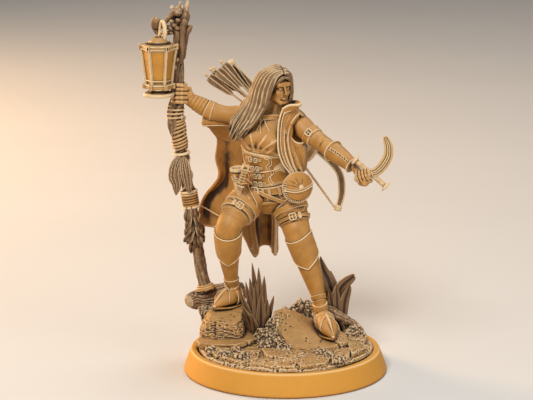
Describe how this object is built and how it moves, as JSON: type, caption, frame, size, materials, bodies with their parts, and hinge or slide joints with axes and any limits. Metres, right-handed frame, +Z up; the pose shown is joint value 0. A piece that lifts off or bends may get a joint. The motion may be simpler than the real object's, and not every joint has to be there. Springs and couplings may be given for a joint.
{
  "type": "painted miniature figure",
  "caption": "Painted tabletop miniature: a cloaked ranger steps over rocks on a round base, lantern staff in one hand and a curved dagger in the other, bow and quiver on the back.",
  "frame": {"origin": "centre of the round base's underside, where it meets the table", "axes": "+Z up along the figure, -Y towards the viewer the figure faces, +X towards the hand with the dagger"},
  "size_m": [0.0315, 0.025, 0.045],
  "materials": {
    "base_gold": "satin ochre-gold paint",
    "stone": "matt tan paint with dark wash and pale edge highlights",
    "moss": "gritty matt dark paint with bone drybrush",
    "wood": "matt bark-brown paint with dark wash and pale drybrush",
    "grass": "matt drab brown paint with pale edges",
    "cloth": "matt tan-ochre paint with dark lined folds",
    "leather": "satin brown-ochre paint with pale edge trims",
    "skin": "matt warm tan paint",
    "hair": "matt brown paint with bone highlights on the strands",
    "metal": "satin bone-gold paint with dark recess lines",
    "amber_panes": "satin amber paint"
  },
  "bodies": {
    "root": {"base_rim": "base_gold", "ground_plate": "stone", "ground_slabs": "stone", "left_boulder": "stone", "fallen_log": "wood", "middle_boulder": "stone", "moss_clumps": "moss", "bark_root": "wood", "grass_tuft": "grass", "broad_leaf_plant": "grass", "pelvis": "cloth", "right_thigh": "cloth", "left_thigh": "cloth", "right_thigh_straps": "leather", "left_thigh_straps": "leather", "strap_buckles": "metal", "right_knee": "leather", "left_knee": "leather", "right_boot": "leather", "left_boot": "leather", "torso": "cloth", "corset": "leather", "corset_buckles": "metal", "waist_belt": "leather", "hip_belt": "leather", "head": "skin", "hair": "hair", "right_upper_arm": "cloth", "right_gauntlet": "leather", "right_hand": "skin", "left_upper_arm": "skin", "left_arm_band": "leather", "left_bracer": "leather", "left_hand": "skin", "shoulder_cape": "cloth", "cape_collar": "cloth", "cloak": "cloth", "chest_strap": "leather", "quiver": "leather", "arrows": "wood", "bow": "wood", "bow_string": "wood", "pouch": "leather", "pouch_flap": "leather", "pouch_stud": "metal", "belt_holder": "leather", "hip_knife": "metal", "staff": "wood", "staff_bindings": "leather", "staff_leaves": "grass", "staff_crown": "wood", "lantern_frame": "metal", "lantern_panes": "amber_panes", "lantern_lid": "metal", "lantern_foot": "metal", "lantern_handle": "metal", "dagger_blade": "metal", "dagger_guard": "metal"}
  },
  "joints": []
}
